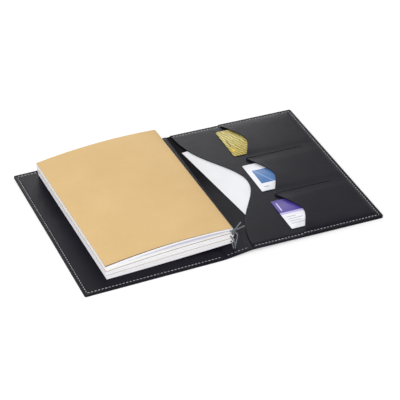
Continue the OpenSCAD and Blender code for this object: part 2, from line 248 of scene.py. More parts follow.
# Materials
class Nodes:
    """A new material and short ways to add nodes to it."""

    def __init__(self, name, roughness=0.6, specular=0.5):
        self.mat = bpy.data.materials.new(name)
        self.mat.use_nodes = True
        self.tree = self.mat.node_tree
        self.bsdf = self.tree.nodes["Principled BSDF"]
        self.bsdf.inputs["Roughness"].default_value = roughness
        self.bsdf.inputs["Specular IOR Level"].default_value = specular
        self.coord = self.add("ShaderNodeTexCoord").outputs["Object"]

    def add(self, kind, **settings):
        node = self.tree.nodes.new(kind)
        for key, value in settings.items():
            setattr(node, key, value)
        return node

    def link(self, a, b):
        self.tree.links.new(a, b)

    def put(self, socket, value):
        if isinstance(value, bpy.types.NodeSocket):
            self.link(value, socket)
        else:
            socket.default_value = value

    def scaled(self, factors):
        node = self.add("ShaderNodeMapping")
        self.put(node.inputs["Vector"], self.coord)
        node.inputs["Scale"].default_value = factors
        return node.outputs["Vector"]

    def noise(self, scale, detail=3.0, vector=None, roughness=0.5):
        node = self.add("ShaderNodeTexNoise")
        self.put(node.inputs["Vector"], vector or self.coord)
        node.inputs["Scale"].default_value = scale
        node.inputs["Detail"].default_value = detail
        node.inputs["Roughness"].default_value = roughness
        return node.outputs["Fac"]

    def cells(self, scale, vector=None):
        node = self.add("ShaderNodeTexVoronoi")
        self.put(node.inputs["Vector"], vector or self.coord)
        node.inputs["Scale"].default_value = scale
        return node.outputs["Distance"]

    def math(self, operation, a, b=0.0):
        node = self.add("ShaderNodeMath", operation=operation)
        for socket, value in zip(node.inputs, (a, b)):
            self.put(socket, value)
        return node.outputs[0]

    def range(self, value, from_low, from_high, to_low=0.0, to_high=1.0):
        node = self.add("ShaderNodeMapRange")
        for socket, v in zip(node.inputs, (value, from_low, from_high, to_low, to_high)):
            self.put(socket, v)
        return node.outputs[0]

    def mix(self, fac, a, b):
        node = self.add("ShaderNodeMix", data_type="RGBA")
        self.put(node.inputs["Factor"], fac)
        for socket, value in zip((node.inputs[6], node.inputs[7]), (a, b)):
            self.put(socket, value if isinstance(value, bpy.types.NodeSocket) else (*value, 1.0))
        return node.outputs[2]

    def bump(self, height, strength, distance):
        node = self.add("ShaderNodeBump")
        node.inputs["Strength"].default_value = strength
        node.inputs["Distance"].default_value = distance
        self.put(node.inputs["Height"], height)
        before = self.bsdf.inputs["Normal"].links
        if before:
            self.link(before[0].from_socket, node.inputs["Normal"])
        self.link(node.outputs["Normal"], self.bsdf.inputs["Normal"])

    def colour(self, value):
        self.put(self.bsdf.inputs["Base Color"], value)

    def rough(self, value):
        self.put(self.bsdf.inputs["Roughness"], value)


# Upper side of the outer leather: how much rougher it gets, the colour of its painted shade, and how strong
# both are along y
FLESH_ROUGH, PAINTED_SHADE_COLOUR = 0.42, (0.002, 0.002, 0.003)
PAINTED_SHADE_Y, DULL_AND_SHADE = (-105, -60, -10, 30), (0.0, 0.25, 0.35, 1.0)


def leather_material(name, dark, light, rough_low, rough_high, flesh=False):
    """Fine pored leather, uneven in tone and gloss; where its upper side is marked it is rougher and darkened
    with painted shade.
    """
    m = Nodes(name, specular=0.08)
    broad = m.noise(18, 4)
    pores = m.cells(1300)
    grain = m.noise(1500, 3)
    uneven = m.math("ADD", broad, m.math("MULTIPLY", grain, 0.4))
    base = m.mix(m.range(uneven, 0.45, 0.95), dark, light)
    rough = m.range(m.noise(60, 4), 0.3, 0.7, rough_low, rough_high)
    # Painted shade: the marked upper side is mixed toward near black, and made rougher
    if flesh:
        split = m.add("ShaderNodeSeparateXYZ")
        m.link(m.add("ShaderNodeTexCoord").outputs["UV"], split.inputs[0])
        rough = m.math("ADD", rough, m.math("MULTIPLY", split.outputs[0], FLESH_ROUGH))
        base = m.mix(split.outputs[0], base, PAINTED_SHADE_COLOUR)
    m.colour(base)
    m.rough(rough)
    m.bump(pores, 0.16, 0.0003)
    m.bump(grain, 0.14, 0.0002)
    m.bump(m.noise(160, 2), 0.12, 0.0008)
    return m.mat


OUTER = leather_material(
    "outer_leather", (0.005, 0.005, 0.008), (0.0084, 0.0084, 0.0134), 0.44, 0.48, flesh=True
)
LINING = leather_material("lining_leather", (0.005, 0.005, 0.0082), (0.0084, 0.0084, 0.0138), 0.38, 0.44)


def face_normal(m):
    """The three parts of the normal in the piece's own frame."""
    split = m.add("ShaderNodeSeparateXYZ")
    m.link(m.add("ShaderNodeTexCoord").outputs["Normal"], split.inputs[0])
    return split.outputs


def kraft_material():
    """Brown board with long fibres; its cut ends and fore-edge are dark brown, partly the board's own darker
    cut and partly painted shade.
    """
    m = Nodes("kraft_board", 0.82, 0.25)
    fibres = m.noise(1, 4, m.scaled((260, 1900, 900)), 0.6)
    cross = m.noise(1, 4, m.scaled((1700, 300, 900)), 0.6)
    cloud = m.noise(24, 5)
    base = m.mix(m.range(cloud, 0.3, 0.7), (0.67, 0.46, 0.212), (0.715, 0.497, 0.236))
    base = m.mix(m.range(fibres, 0.55, 0.75, 0, 0.35), base, (0.54, 0.34, 0.14))
    base = m.mix(m.range(cross, 0.58, 0.78, 0, 0.35), base, (0.82, 0.60, 0.31))
    # Partly painted shade: faces turned to the ends and the fore-edge are mixed to a dark brown
    nx, ny, _ = face_normal(m)
    ends = m.range(m.math("ABSOLUTE", ny), 0.6, 0.8)
    fore = m.range(nx, -0.6, -0.8)
    m.colour(m.mix(m.math("MAXIMUM", ends, fore), base, (0.13, 0.105, 0.065)))
    m.bump(m.math("ADD", fibres, cross), 0.10, 0.0002)
    return m.mat


KRAFT = kraft_material()


def page_material():
    """White paper, each leaf a little different; its flat faces are a darker lilac grey, painted shade."""
    m = Nodes("page_paper", 0.85, 0.2)
    leaf = m.add("ShaderNodeNewGeometry").outputs["Random Per Island"]
    tone = m.mix(leaf, (0.91, 0.905, 0.895), (0.97, 0.965, 0.955))
    # Painted shade: faces lying flat are mixed to a darker lilac grey
    _, _, nz = face_normal(m)
    flat = m.range(m.math("ABSOLUTE", nz), 0.5, 0.9)
    tone = m.mix(flat, tone, (0.80, 0.79, 0.87))
    m.colour(m.mix(m.range(m.noise(900, 3), 0.4, 0.7, 0, 0.25), tone, (0.84, 0.835, 0.83)))
    m.bump(m.noise(2500, 2), 0.08, 0.0001)
    return m.mat


PAGES = page_material()


def slip_material():
    m = Nodes("slip_paper", 0.75, 0.3)
    m.colour(m.mix(m.range(m.noise(30, 4), 0.35, 0.65), (0.80, 0.81, 0.84), (0.85, 0.86, 0.89)))
    m.bump(m.noise(1800, 3), 0.06, 0.0001)
    return m.mat


SLIP = slip_material()


def cord_material():
    """Braided grey elastic."""
    m = Nodes("elastic_cord", 0.7, 0.3)
    braid = m.cells(1500, m.scaled((1.0, 0.55, 1.0)))
    m.colour(m.mix(m.range(braid, 0.15, 0.65), (0.30, 0.32, 0.36), (0.06, 0.065, 0.078)))
    m.bump(m.math("SUBTRACT", 1.0, braid), 0.5, 0.0003)
    return m.mat


CORD = cord_material()


def thread_material():
    """Twisted grey thread, each stitch a little different."""
    m = Nodes("sewing_thread", 0.75, 0.3)
    one = m.add("ShaderNodeNewGeometry").outputs["Random Per Island"]
    twist = m.noise(2600, 2)
    tone = m.mix(one, (0.36, 0.36, 0.37), (0.62, 0.62, 0.63))
    m.colour(m.mix(m.range(twist, 0.35, 0.65, 0, 0.4), tone, (0.2, 0.2, 0.21)))
    m.bump(twist, 0.3, 0.0002)
    return m.mat


THREAD = thread_material()


def wire_material():
    m = Nodes("staple_wire", 0.35, 0.5)
    m.bsdf.inputs["Metallic"].default_value = 1.0
    m.colour(m.mix(m.range(m.noise(700, 3), 0.35, 0.65), (0.55, 0.55, 0.57), (0.74, 0.74, 0.76)))
    return m.mat


WIRE = wire_material()
CARD_UV = 100.0


def card_axes(m):
    """Across and along a card, in millimetres from its corner nearest the spine and the tail end."""
    split = m.add("ShaderNodeSeparateXYZ")
    m.link(m.add("ShaderNodeTexCoord").outputs["UV"], split.inputs[0])
    return [m.math("MULTIPLY", split.outputs[i], CARD_UV) for i in (0, 1)]


def band(m, value, low, high):
    """One inside low to high, nought outside, with a soft change between them."""
    soft = 0.08
    rise = m.range(value, low - soft, low + soft)
    fall = m.range(value, high + soft, high - soft)
    return m.math("MULTIPLY", rise, fall)


def patch(m, x, y, across, along):
    """One inside a rectangle of the card, nought outside."""
    return m.math("MULTIPLY", band(m, x, *across), band(m, y, *along))


def gold_card_material():
    """Brushed gold with wavering slanted ridges, a bar and a small block."""
    m = Nodes("gold_card", 0.5, 0.12)
    x, y = card_axes(m)
    m.bsdf.inputs["Metallic"].default_value = 0.1
    brushed = m.noise(1, 3, m.scaled((120, 2600, 400)))
    base = m.mix(m.range(brushed, 0.3, 0.7), (0.31, 0.24, 0.045), (0.48, 0.40, 0.11))
    slope = m.math("ADD", x, m.math("MULTIPLY", y, 0.45))
    waver = m.math("MULTIPLY", m.noise(160, 2), 9.0)
    ridges = m.math("SINE", m.math("ADD", m.math("MULTIPLY", slope, 1.55), waver))
    base = m.mix(m.range(ridges, 0.0, 0.9, 0, 0.7), base, (0.70, 0.62, 0.27))
    base = m.mix(m.range(ridges, -0.1, -0.9, 0, 0.5), base, (0.20, 0.15, 0.03))
    base = m.mix(patch(m, x, y, (3.0, 6.5), (9.0, 13.5)), base, (0.86, 0.52, 0.06))
    base = m.mix(patch(m, x, y, (4.2, 5.4), (20.0, 36.0)), base, (0.14, 0.11, 0.05))
    m.colour(base)
    return m.mat


def blue_card_material():
    """White with a blue block, a slanted stripe in it and a short bar."""
    m = Nodes("blue_card", 0.45, 0.15)
    x, y = card_axes(m)
    cloud = m.noise(40, 3)
    white = m.mix(m.range(cloud, 0.35, 0.65), (0.76, 0.78, 0.83), (0.83, 0.84, 0.88))
    block = patch(m, x, y, (6.0, 60.0), (14.0, 41.0))
    base = m.mix(block, white, (0.085, 0.185, 0.40))
    slope = m.math("ADD", x, m.math("MULTIPLY", y, 0.5))
    base = m.mix(m.math("MULTIPLY", block, band(m, slope, 27.0, 29.5)), base, (0.16, 0.30, 0.55))
    base = m.mix(patch(m, x, y, (6.0, 12.0), (6.0, 8.0)), base, (0.45, 0.49, 0.58))
    m.colour(base)
    return m.mat


def purple_card_material():
    """White below and purple above, with a pale bar and plain grey lines."""
    m = Nodes("purple_card", 0.45, 0.15)
    x, y = card_axes(m)
    cloud = m.noise(40, 3)
    white = m.mix(m.range(cloud, 0.35, 0.65), (0.77, 0.77, 0.82), (0.84, 0.84, 0.88))
    base = m.mix(m.range(y, 29.9, 30.1), white, (0.072, 0.042, 0.29))
    base = m.mix(band(m, y, 26.5, 30.0), base, (0.50, 0.44, 0.74))
    base = m.mix(patch(m, x, y, (3.5, 5.0), (34.0, 49.0)), base, (0.60, 0.55, 0.82))
    line_low, line_high, pitch = 20.5, 21.6, 4.2
    for row, end in enumerate((15.0, 22.0, 18.0, 22.0)):
        line = patch(m, x, y, (4.0, end), (line_low - pitch * row, line_high - pitch * row))
        base = m.mix(line, base, (0.46, 0.46, 0.52))
    m.colour(base)
    return m.mat


# The outer leather: one skin over both panels and the spine, in two halves that meet under the spine liner
BEND_RUN, PATH_STEP = 7.0, 0.25


def crease_path():
    """Middle line of the outer leather seen along the spine, rounded at the creases."""
    s = np.arange(-PANEL_W, SPINE_W + PANEL_W + 0.01, PATH_STEP)
    left, right = (smooth((s - at + BEND_RUN / 2) / BEND_RUN) for at in (0, SPINE_W))
    turn = SPINE_TILT * left - (SPINE_TILT + PANEL_TILT) * right
    half = np.concatenate([[0], (turn[1:] + turn[:-1]) / 2])
    x, z = np.cumsum(PATH_STEP * np.cos(half)), np.cumsum(PATH_STEP * np.sin(half))
    centre = np.searchsorted(s, SPINE_W / 2)
    return s, x - x[centre], z - z[centre] + RISE / 2 + LEATHER_T / 2, turn


PATH_S, PATH_X, PATH_Z, PATH_TURN = crease_path()
LIFT_H, LIFT_X, LIFT_Y = 0.4, (-175.0, 22.0), (-14.0, 38.0)
HIDDEN_EDGE = np.array([0, 1.0, 2.0])


def left_lift(x, y):
    """The left panel's fore-edge doesn't lie quite flat."""
    return LIFT_H * hump(x, *LIFT_X) * hump(y, *LIFT_Y)


def outer_half(name, side):
    """One half of the outer leather, from its fore-edge to the middle of the spine."""
    s_grid, y_grid = [], []
    for y in spread(-HALF_H, HALF_H, 30):
        reach = corner_end(y)
        if side < 0:
            row = spread(-reach, SPINE_W / 2, 46, EDGE, HIDDEN_EDGE)
        else:
            row = spread(-SPINE_W / 2, reach, 46, HIDDEN_EDGE, EDGE) + SPINE_W
            row = row[::-1]
        s_grid.append(row)
        y_grid.append(np.full(len(row), y))
    s, y = np.array(s_grid), np.array(y_grid)
    over = corner_end(y)
    d_end = (s + over) if side < 0 else (SPINE_W + over - s)
    d = np.minimum(d_end, HALF_H - np.abs(y))
    sewn = np.where((s < -LINER_IN) | (s > SPINE_W + LINER_IN), 1.0, 0.0)
    h = thick_at(d, LEATHER_T, OUTER_ROUND)
    x, z, turn = (np.interp(s, PATH_S, v) for v in (PATH_X, PATH_Z, PATH_TURN))
    z = z + (left_lift(x, y) if side < 0 else 0)
    nx, nz = -np.sin(turn), np.cos(turn)
    low = h - groove(d) * sewn * GROOVE_UNDER
    top_pts = np.stack([x + h * nx, y, z + h * nz], -1)
    low_pts = np.stack([x - low * nx, y, z - low * nz], -1)
    return shell(name, top_pts, low_pts, OUTER, open_last=True)


def mark_dull_and_shade(obj):
    """Writes how strong the roughening and the painted shade are on the outer leather's upper side, as u of a
    uv map.
    """
    upper = len(obj.data.vertices) // 2
    layer = obj.data.uv_layers.new(name="flesh")
    for loop in obj.data.loops:
        y = obj.data.vertices[loop.vertex_index].co.y / MM
        dull = np.interp(y, PAINTED_SHADE_Y, DULL_AND_SHADE) if loop.vertex_index < upper else 0.0
        layer.data[loop.index].uv = (dull, 0.0)


# Painted shade on the upper side of both halves, growing toward the far end
left_leather = outer_half("cover_leather_left", -1)
mark_dull_and_shade(left_leather)
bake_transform(left_leather)
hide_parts("left_outer_leather")
right_leather = outer_half("cover_leather_right", 1)
mark_dull_and_shade(right_leather)
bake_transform(right_leather)
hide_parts("right_outer_leather", "spine_outer_leather")


# Sheets sewn on the outer leather
def sewn_sheet(name, ys, free, mid, place, keep=None, cuts=None, slope=None):
    """A lining sheet from its free edge, at x = free(y), to the sewn edges of a panel.

    mid gives the height of its middle, slope how much nearer the free edge is than it looks along x,
    cuts the distance from other cut edges, and keep the squares of the grid that are leather.
    """
    x = np.array([spread(free(y), corner_end(y), 44) for y in ys])
    y = np.repeat(np.asarray(ys)[:, None], x.shape[1], 1)
    d_free = (x - free(y)) * (slope(y) if slope else 1.0)
    d_sewn = np.minimum(corner_end(y) - x, HALF_H - np.abs(y))
    d = np.minimum(d_free, d_sewn)
    if cuts is not None:
        d = np.minimum(d, cuts(x, y))
    h = thick_at(d, LINING_T, LINING_ROUND)
    z = mid(x, y, d_free, d_sewn)
    top = place(np.stack([x, y, z + h - groove(d_sewn)], -1))
    low = place(np.stack([x, y, z - h], -1))
    return shell(name, top, low, LINING, keep(x, y) if keep else None)


def mirrored(p):
    """From the left panel's own frame: x from its crease to the left."""
    p = np.array(p, float)
    p[..., 0] = -CREASE_X - p[..., 0]
    return p


def straight_edge(y):
    return np.full_like(np.asarray(y, float), FREE_EDGE)


def lining_mid(x, y, d_free, d_sewn):
    waves = 0.10 * drift(x, y, 70, 3) * smooth((d_sewn - 4) / 20)
    return LEATHER_T + LINING_T / 2 + left_lift(-CREASE_X - x, y) + waves


lining_rows = spread(-HALF_H, HALF_H, 32)
lining = sewn_sheet("left_lining_sheet", lining_rows, straight_edge, lining_mid, mirrored)
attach(lining, "left_cover")
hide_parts("left_lining")


def bell(y):
    """The mouth of the slip pocket."""
    return FREE_EDGE + MOUTH_DEEP * hump(np.asarray(y, float), 0, MOUTH_W)


def bell_slope(y):
    return 1 / np.sqrt(1 + ((bell(y) - FREE_EDGE) * 2 * y / MOUTH_W**2) ** 2)


def seam_rise(d_sewn, run):
    """How far a sheet has come up from its seam, from nought to one."""
    return smooth((d_sewn - 2.5) / run)


POCKET_UP, CARD_UP, BULGE, FLAP_UP, FLAP_RUN, SLOT_HALF = 0.6, 0.92, 0.3, 0.45, 10, 34


def pocket_mid(x, y, d_free, d_sewn):
    up = POCKET_UP + 0.02 * drift(x, y, 60, 5)
    return LEATHER_T + LINING_T / 2 + up * seam_rise(d_sewn, 4)


pocket_rows = spread(-HALF_H, HALF_H, 70)
pocket = sewn_sheet("slip_pocket_sheet", pocket_rows, bell, pocket_mid, on_right, slope=bell_slope)
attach(pocket, "right_cover")
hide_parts("slip_pocket")


def from_slot(y):
    """Distance from the middle of the nearest card slot."""
    return y - SLOT_PITCH * np.clip(np.round(y / SLOT_PITCH), -1, 1)


def scallop(y):
    """The inner edge of the card panel, cut back round each slot."""
    local, r = from_slot(np.asarray(y, float)), SCALLOP_ROUND
    deep = 1 - (np.sqrt(local**2 + r * r) - r) / (math.sqrt(SLOT_PITCH**2 / 4 + r * r) - r)
    return PANEL_IN + np.where(np.abs(local) <= SLOT_PITCH / 2, SCALLOP_DEEP * np.clip(deep, 0, 1), 0)


def scallop_slope(y):
    e = 0.01
    return 1 / np.sqrt(1 + ((scallop(y + e) - scallop(y - e)) / (2 * e)) ** 2)


SLIT = 0.3
SLIT_YS = (-SLOT_PITCH / 2, SLOT_PITCH / 2)
SLIT_EDGE = np.array([0, 0.05, 0.16, 0.34, 0.6, 1.2, 2.4, 5, 9])


def card_rows():
    """Rows of the card panel, close together beside its slits."""
    beside = [c + side * (SLIT + SLIT_EDGE) for c in SLIT_YS for side in (-1, 1)]
    plain = spread(-HALF_H, HALF_H, 64)
    far_off = np.min([np.abs(plain - c) for c in SLIT_YS], axis=0) > 10.5
    return np.sort(np.concatenate([plain[far_off], *beside]))


def slit_distance(x, y):
    d = np.min([np.abs(y - c) - SLIT for c in SLIT_YS], axis=0)
    past = np.clip(x - PANEL_IN - SLIT_L, 0, None)
    return np.hypot(np.clip(d, 0, None), past)


def card_keep(x, y):
    ym = (y[1:, :-1] + y[:-1, :-1]) / 2
    xm = (x[:-1, 1:] + x[:-1, :-1]) / 2
    inside = np.min([np.abs(ym - c) for c in SLIT_YS], axis=0) < SLIT * 0.9
    return ~(inside & (xm < PANEL_IN + SLIT_L))


def card_mid(x, y, d_free, d_sewn):
    """The panel bulges over its cards, and its scalloped flaps stand up a little."""
    beside = np.abs(from_slot(y))
    over_card = smooth((SLOT_HALF - beside) / 9) * smooth((PANEL_W - 1 - x) / 12)
    flap = FLAP_UP * np.exp(-d_free / FLAP_RUN) * smooth((SLOT_HALF - beside) / 12)
    up = CARD_UP + BULGE * over_card + flap + 0.05 * drift(x, y, 50, 8)
    return LEATHER_T + LINING_T * 1.5 + (POCKET_UP + up) * seam_rise(d_sewn, 6)


panel = sewn_sheet(
    "card_panel_sheet", card_rows(), scallop, card_mid, on_right,
    keep=card_keep, cuts=slit_distance, slope=scallop_slope,
)
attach(panel, "right_cover")
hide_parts("card_panel")


# Spine liner with its two holes
def liner_sheet():
    ys = spread(-HALF_H, HALF_H, 24)
    row = spread(LINER_IN, SPINE_W - LINER_IN, 8)
    x, y = np.meshgrid(row, ys)
    d = np.minimum(np.minimum(x - LINER_IN, SPINE_W - LINER_IN - x), HALF_H - np.abs(y))
    h = thick_at(d, LINING_T, LINING_ROUND)
    middle = (LEATHER_T + LINING_T) / 2
    top, low = (on_spine(np.stack([x, y, middle + way * h], -1)) for way in (1, -1))
    obj = shell("spine_liner_sheet", top, low, LINING)
    for side in (-1, 1):
        centre = on_spine(np.array([SPINE_W / 2, HOLE_Y[side], middle]))
        bpy.ops.mesh.primitive_cylinder_add(
            vertices=32, radius=HOLE_D / 2 * MM, depth=4 * MM,
            location=centre * MM, rotation=(0, -SPINE_TILT, 0),
        )
        drill = bpy.context.object
        cutter = obj.modifiers.new("hole", "BOOLEAN")
        cutter.operation, cutter.object, cutter.solver = "DIFFERENCE", drill, "EXACT"
        ready = bpy.data.meshes.new_from_object(obj.evaluated_get(bpy.context.evaluated_depsgraph_get()))
        obj.modifiers.clear()
        obj.data = ready
        bpy.data.objects.remove(drill)
    return obj


liner = liner_sheet()
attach(liner, "spine")
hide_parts("spine_liner")


# Stitching along the sewn edges, on the inside and on the outside
def on_line(points, run, at):
    """The place on a line of points after a length of it."""
    return np.array([np.interp(at, run, points[:, k]) for k in range(3)])


def stitches(name, lines, body):
    """Short rounded threads along each line of points; a line is (points, up)."""
    verts, faces = [], []
    sides, along = 6, np.array([-1, -0.8, -0.3, 0.3, 0.8, 1])
    girth = np.array([0.15, 0.75, 1, 1, 0.75, 0.15])
    for points, up in lines:
        gaps = np.linalg.norm(np.diff(points, axis=0), axis=1)
        run = np.concatenate([[0], np.cumsum(gaps)])
        count = int(run[-1] // STITCH_PITCH)
        for i in range(count):
            at = (i + 0.5) * run[-1] / count
            p, ahead, behind = (on_line(points, run, at + step) for step in (0, 0.5, -0.5))
            t = (ahead - behind) / np.linalg.norm(ahead - behind)
            across = np.cross(up, t)
            t = t + across * rng.normal(0, 0.05)
            length = STITCH_L * rng.uniform(0.92, 1.06) / 2
            first = len(verts)
            for a, g in zip(along, girth):
                for k in range(sides):
                    w = 2 * math.pi * k / sides
                    spoke = np.cos(w) * across + np.sin(w) * up
                    verts.append(p + a * length * t + STITCH_D / 2 * g * spoke)
            for r in range(len(along) - 1):
                here, there = first + r * sides, first + (r + 1) * sides
                for k in range(sides):
                    n = (k + 1) % sides
                    faces.append((here + k, here + n, there + n, there + k))
            last = first + (len(along) - 1) * sides
            faces.append(tuple(first + k for k in reversed(range(sides))))
            faces.append(tuple(last + k for k in range(sides)))
    obj = mesh_object(name, verts, faces, THREAD)
    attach(obj, body)


def seam_line(start):
    """A sewn edge round three sides of a panel, as x from the crease and y."""
    out, top, r = PANEL_W - SEAM, HALF_H - SEAM, 2.0
    a = np.linspace(0, math.pi / 2, 5)
    near = [(x, -top) for x in np.linspace(start, out - r, 60)]
    c1 = [(out - r + r * math.sin(v), -top + r - r * math.cos(v)) for v in a]
    side = [(out, y) for y in np.linspace(-top + r, top - r, 80)]
    c2 = [(out - r + r * math.cos(v), top - r + r * math.sin(v)) for v in a]
    far = [(x, top) for x in np.linspace(out - r, start, 60)]
    return np.array(near + c1[1:] + side[1:] + c2[1:] + far[1:])


def left_seams():
    flat = seam_line(3.2)
    x, y = flat[:, 0], flat[:, 1]
    lift = left_lift(-CREASE_X - x, y)
    inside = mirrored(np.stack([x, y, LEATHER_T + LINING_T - STITCH_SINK + lift], -1))
    outside = mirrored(np.stack([x, y, STITCH_UNDER + lift], -1))
    return [(inside, np.array([0, 0, 1.0])), (outside, np.array([0, 0, -1.0]))]


def right_seams():
    flat = seam_line(4.0)
    x, y = flat[:, 0], flat[:, 1]
    top = LEATHER_T + LINING_T - STITCH_SINK + LINING_T * smooth((x - PANEL_IN + 0.4) / 0.8)
    inside = on_right(np.stack([x, y, top], -1))
    outside = on_right(np.stack([x, y, np.full_like(x, STITCH_UNDER)], -1))
    up = on_right(np.array([0, 0, 1.0])) - on_right(np.array([0, 0, 0.0]))
    return [(inside, up), (outside, -up)]


def spine_seams():
    x = np.linspace(3.6, SPINE_W - 3.6, 12)
    up = on_spine((0, 0, 1.0)) - on_spine((0, 0, 0))
    inside, outside = LEATHER_T / 2 + LINING_T - STITCH_SINK, STITCH_UNDER - LEATHER_T / 2
    lines = []
    for y in (SEAM - HALF_H, HALF_H - SEAM):
        for z, way in ((inside, up), (outside, -up)):
            lines.append((on_spine(np.stack([x, np.full_like(x, y), np.full_like(x, z)], -1)), way))
    return lines


stitches("left_stitching", left_seams(), "left_cover")
stitches("spine_stitching", spine_seams(), "spine")
stitches("right_stitching", right_seams(), "right_cover")


# Paper slip
def slip_sheet():
    """A sheet that is flat inside the pocket and a little uneven outside it."""
    u, v = np.meshgrid(np.linspace(0, SLIP_W, 40), np.linspace(-SLIP_L, 0, 40))
    x = SLIP_X + u * math.cos(SLIP_TURN) - v * math.sin(SLIP_TURN)
    y = SLIP_Y + u * math.sin(SLIP_TURN) + v * math.cos(SLIP_TURN)
    run = 16
    inside = smooth((x - bell(y) + run) / run)
    uneven = 0.05 * np.exp(-u / run) + 0.03 * drift(u, v, 90, 4)
    z = np.maximum(SLIP_Z + uneven * (1 - inside), SLIP_Z)
    lift = np.array([0, 0, SLIP_T / 2])
    p = np.stack([x, y, z], -1)
    return shell("paper_slip_sheet", on_right(p + lift), on_right(p - lift), SLIP)


slip = slip_sheet()
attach(slip, "paper_slip")
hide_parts("paper_slip")


# Cards
CARD_RIM, CARD_CLEAR = 0.12, 0.05


def card(name, slot, r, material):
    """A flat card with corners of radius r and softened rims; its uv map is its plan."""
    corners = ((CARD_L - r, r), (CARD_L - r, CARD_W - r), (r, CARD_W - r), (r, r))
    outline = []
    for (cx, cy), start in zip(corners, (-90, 0, 90, 180)):
        for a in np.radians(np.linspace(start, start + 90, 7)):
            outline.append((cx + r * math.cos(a), cy + r * math.sin(a), cx, cy))
    outline = np.array(outline)
    n = len(outline)
    towards = outline[:, 2:] - outline[:, :2]
    towards /= np.linalg.norm(towards, axis=1)[:, None]
    rings = []
    for inset, z in ((CARD_RIM, 0), (0, CARD_RIM), (0, CARD_T - CARD_RIM), (CARD_RIM, CARD_T)):
        rings.append(np.column_stack([outline[:, :2] + towards * inset, np.full(n, z)]))
    local = np.concatenate(rings)
    faces = [tuple(reversed(range(n))), tuple(range(3 * n, 4 * n))]
    for k in range(3):
        for i in range(n):
            j = (i + 1) % n
            faces.append((k * n + i, k * n + j, (k + 1) * n + j, (k + 1) * n + i))
    place = local + np.array([CARD_X, slot * SLOT_PITCH - CARD_W / 2, PAD_Z + CARD_CLEAR])
    obj = mesh_object(name, on_right(place), faces, material, False)
    layer = obj.data.uv_layers.new(name="plan")
    for loop in obj.data.loops:
        layer.data[loop.index].uv = local[loop.vertex_index, :2] / CARD_UV
    return obj


for name, slot, corner, material, finish in (
    ("far_card", 1, 2.2, gold_card_material(), "gold_card"),
    ("middle_card", 0, 0.8, blue_card_material(), "blue_card"),
    ("near_card", -1, 0.8, purple_card_material(), "purple_card"),
):
    plate = card(name + "_plate", slot, corner, material)
    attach(plate, name)
    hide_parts(name)


# Booklets: profiles seen along the fold, as in the CAD part
FORE_Z, FOLD_Z = [2.6, 7.5, 12.6, 19.7], [5.6, 11.7, 18.0, 24.6]
CROWN = 4.2
SWELL = [-CROWN / 6, CROWN / 7, CROWN * 3 / 7, CROWN]
SHIFT, OUT, TURN = [5.5, 6.0, 6.5], [1.5, 1.0, 0.5], [math.radians(a) for a in (0.9, 1.0, 1.2)]
FOLD_ROUND, BOOK_GAP, FOLD_GAP, PARTING = 2.8, 0.1, 1.0, 3.0
FLAT_W = BOOK_W - FOLD_ROUND
KRAFT_T = [0.12, 0.24, 0.3]
PAGE_IN = [t + 0.05 for t in KRAFT_T]
TOP = 2
FLAT_POINTS, FOLD_POINTS, HALF_FOLD_POINTS, FOLD_END = 18, 17, 8, 80
WRAP_POINTS = 2 * FLAT_POINTS + FOLD_POINTS


def face_z(k, u):
    """Height of the k-th face of the stack, counted from below, at u from the fore-edge."""
    t = u / BOOK_W
    return FORE_Z[k] + (FOLD_Z[k] - FORE_Z[k]) * t + 4 * SWELL[k] * t * (1 - t)


def mid_z(k, u):
    return (face_z(k, u) + face_z(k + 1, u)) / 2


def half_t(k, u):
    return (face_z(k + 1, u) - face_z(k, u) - BOOK_GAP) / 2


def stacked(k, p):
    """From booklet k's own frame, with x from its fold, to the part's."""
    p = np.asarray(p, float)
    c, s = math.cos(TURN[k]), math.sin(TURN[k])
    x = p[..., 0] * c - p[..., 1] * s + OUT[k]
    y = p[..., 0] * s + p[..., 1] * c + SHIFT[k]
    return np.stack([x, y, p[..., 2]], -1)


def flat_run(k, side, inset, start):
    """The upper or lower side of booklet k, inset(u) below its surface."""
    u = np.linspace(start, FLAT_W, FLAT_POINTS)
    return np.column_stack([u - BOOK_W, mid_z(k, u) + side * (half_t(k, u) - inset(u))])


def fold_run(k, inset, angles):
    a = np.radians(angles)
    i = inset(FLAT_W)
    x = (FOLD_ROUND - i) * np.cos(a) - FOLD_ROUND
    z = mid_z(k, BOOK_W) + (half_t(k, FLAT_W) - i) * np.sin(a)
    return np.column_stack([x, z])


def wrapped(k, inset, start):
    """From the lower fore-edge round the fold to the upper one."""
    fold = fold_run(k, inset, np.linspace(-FOLD_END, FOLD_END, FOLD_POINTS))
    return np.concatenate([flat_run(k, -1, inset, start), fold, flat_run(k, 1, inset, start)[::-1]])


def half_wrapped(side, inset, start):
    """One half of the opening booklet, from its parted fold to the fore-edge."""
    room = half_t(TOP, FLAT_W) - inset(FLAT_W)
    first = math.degrees(math.asin(FOLD_GAP / 2 / max(room, FOLD_GAP / 2)))
    fold = fold_run(TOP, inset, side * np.linspace(first, FOLD_END, HALF_FOLD_POINTS))
    return np.concatenate([fold, flat_run(TOP, side, inset, start)[::-1]])


def strip(name, k, outer, inner, near, far, material, shares=(0, 1), curl=None):
    """A sheet between two profiles, from y = near to y = far; near may differ along the profile."""
    near = near + np.zeros(len(outer))
    y = near + np.asarray(shares)[:, None] * (far - near)

    def grid(path, lift):
        x, z = (np.broadcast_to(path[:, i], y.shape) for i in (0, 1))
        return stacked(k, np.stack([x, y, z + (lift(x, y) if lift else 0)], -1))

    return shell(name, grid(outer, curl), grid(inner, None), material)


def joined(name, parts):
    """One object of several, so that a block of leaves is one piece."""
    verts, faces, count = [], [], 0
    for obj in parts:
        mesh = obj.data
        verts += [tuple(v.co / MM) for v in mesh.vertices]
        faces += [tuple(i + count for i in f.vertices) for f in mesh.polygons]
        count += len(mesh.vertices)
    material = parts[0].data.materials[0]
    for obj in parts:
        bpy.data.objects.remove(obj)
    return mesh_object(name, verts, faces, material)


